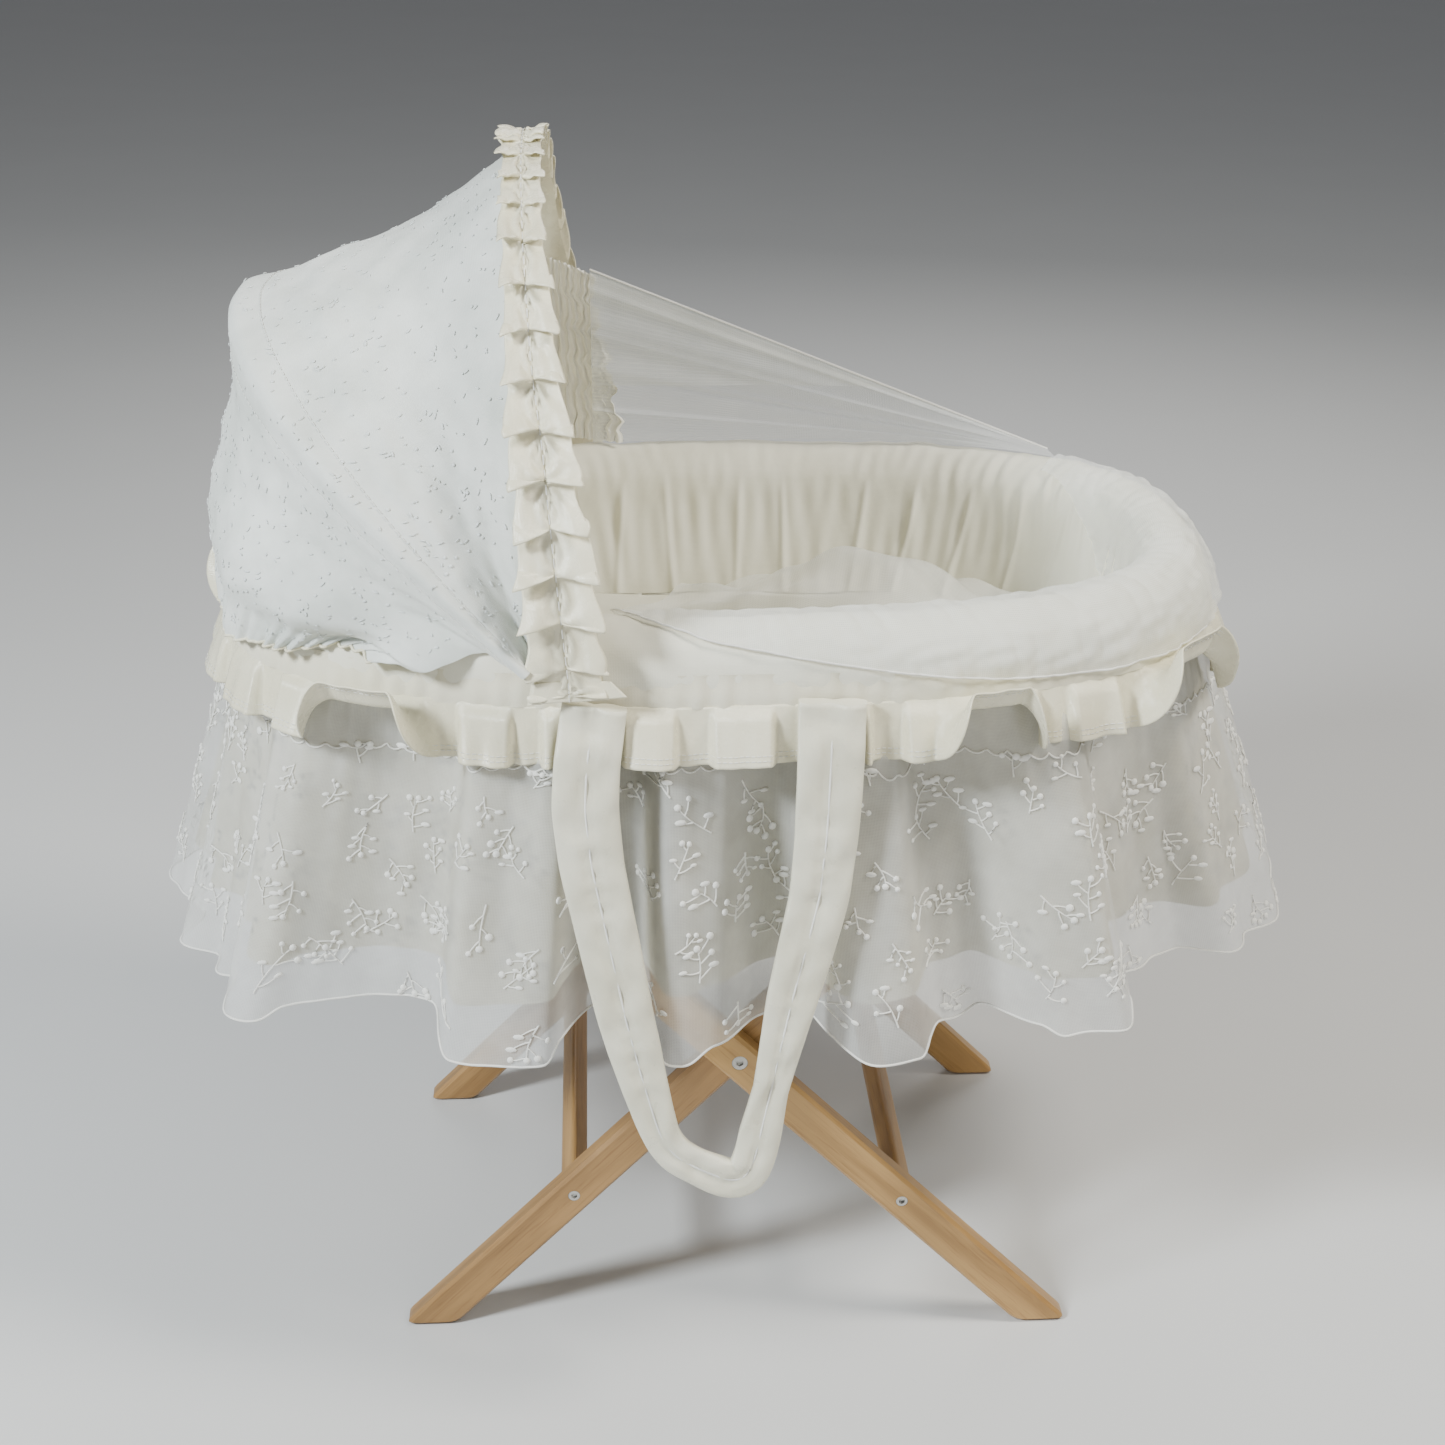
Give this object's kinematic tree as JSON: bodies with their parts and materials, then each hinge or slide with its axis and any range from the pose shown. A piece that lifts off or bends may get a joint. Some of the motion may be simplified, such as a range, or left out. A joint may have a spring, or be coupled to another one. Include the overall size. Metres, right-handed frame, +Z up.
{
  "type": "bassinet on stand",
  "caption": "Woven bassinet with padded rim, folding fabric hood, netting, carry handles and a full lace skirt, resting on a folding crossed-leg wooden stand.",
  "frame": {"origin": "on the floor, under the middle of the stand", "axes": "+Z up, +X along the basket towards the foot end, +Y across it, away from the side the picture shows"},
  "size_m": [0.994, 0.6158, 1.0113],
  "materials": {
    "beech": "satin varnish",
    "steel": "satin",
    "wicker": "woven",
    "cotton": "matt",
    "satin": "soft sheen",
    "lace": "sheer, embroidered",
    "net": "sheer",
    "webbing": "matt",
    "cane": "smooth"
  },
  "bodies": {
    "basket": {"wicker_base": "wicker", "wicker_wall": "wicker", "wicker_rim": "wicker", "mattress": "cotton", "quilt": "cotton", "bumper_liner": "cotton", "rim_band": "cotton", "frill": "satin", "skirt_lining": "cotton", "skirt_lace": "lace", "hood_cover": "lace", "hood_lining": "cotton", "netting": "net", "hood_hinge_plate_near": "steel", "hood_hinge_plate_far": "steel", "hood_rivet_near": "steel", "hood_rivet_far": "steel", "handle_tab_near_head": "satin", "handle_tab_near_foot": "satin", "handle_tab_far_head": "satin", "handle_tab_far_foot": "satin"},
    "straps": {"webbing_strap_near": "webbing", "webbing_strap_far": "webbing"},
    "stand_inner": {"leg_inner_near": "beech", "leg_inner_far": "beech", "bar_inner_upper": "beech", "bar_inner_lower": "beech", "screw_inner_upper_near": "steel", "screw_inner_upper_far": "steel", "screw_inner_lower_near": "steel", "screw_inner_lower_far": "steel"},
    "stand_outer": {"leg_outer_near": "beech", "leg_outer_far": "beech", "bar_outer_upper": "beech", "bar_outer_lower": "beech", "screw_outer_upper_near": "steel", "screw_outer_upper_far": "steel", "screw_outer_lower_near": "steel", "screw_outer_lower_far": "steel", "pivot_bolt_near": "steel", "pivot_bolt_far": "steel", "pivot_washer_near": "steel", "pivot_washer_far": "steel", "pivot_nut_near": "steel", "pivot_nut_far": "steel"},
    "hood_front": {"hood_front_hoop": "cane", "hood_ruffle": "satin"},
    "hood_rear": {"hood_rear_hoop": "cane"},
    "handle_near": {"carry_handle_near": "satin"},
    "handle_far": {"carry_handle_far": "satin"}
  },
  "joints": [
    {"name": "basket_lift_off", "type": "slide", "parent": "basket", "child": "straps", "axis": [0, 0, -1], "range_m": [0, 0.35]},
    {"name": "stand_fold", "type": "hinge", "parent": "straps", "child": "stand_inner", "pos_m": [0.1698, 0, 0.45622], "axis": [0, -1, 0], "range_deg": [0, 38], "deforming": ["webbing_strap_near", "webbing_strap_far"]},
    {"name": "stand_cross", "type": "hinge", "parent": "stand_inner", "child": "stand_outer", "pos_m": [0, 0, 0.281], "axis": [0, 1, 0], "range_deg": [0, 76]},
    {"name": "hood_fold", "type": "hinge", "parent": "basket", "child": "hood_front", "pos_m": [-0.148, 0, 0.652], "axis": [0, -1, 0], "range_deg": [0, 66], "deforming": ["hood_cover", "hood_lining", "netting"]},
    {"name": "hood_rear_fold", "type": "hinge", "parent": "basket", "child": "hood_rear", "pos_m": [-0.148, 0, 0.652], "axis": [0, -1, 0], "range_deg": [0, 30]},
    {"name": "handle_near_swing", "type": "hinge", "parent": "basket", "child": "handle_near", "pos_m": [-0.026, -0.266, 0.621], "axis": [-1, 0, 0], "range_deg": [0, 135]},
    {"name": "handle_far_swing", "type": "hinge", "parent": "basket", "child": "handle_far", "pos_m": [-0.026, 0.266, 0.621], "axis": [1, 0, 0], "range_deg": [0, 135]}
  ],
  "couplings": [
    {"joint": "stand_cross", "follows": "stand_fold", "ratio": 2},
    {"joint": "hood_rear_fold", "follows": "hood_fold", "ratio": 0.42}
  ]
}
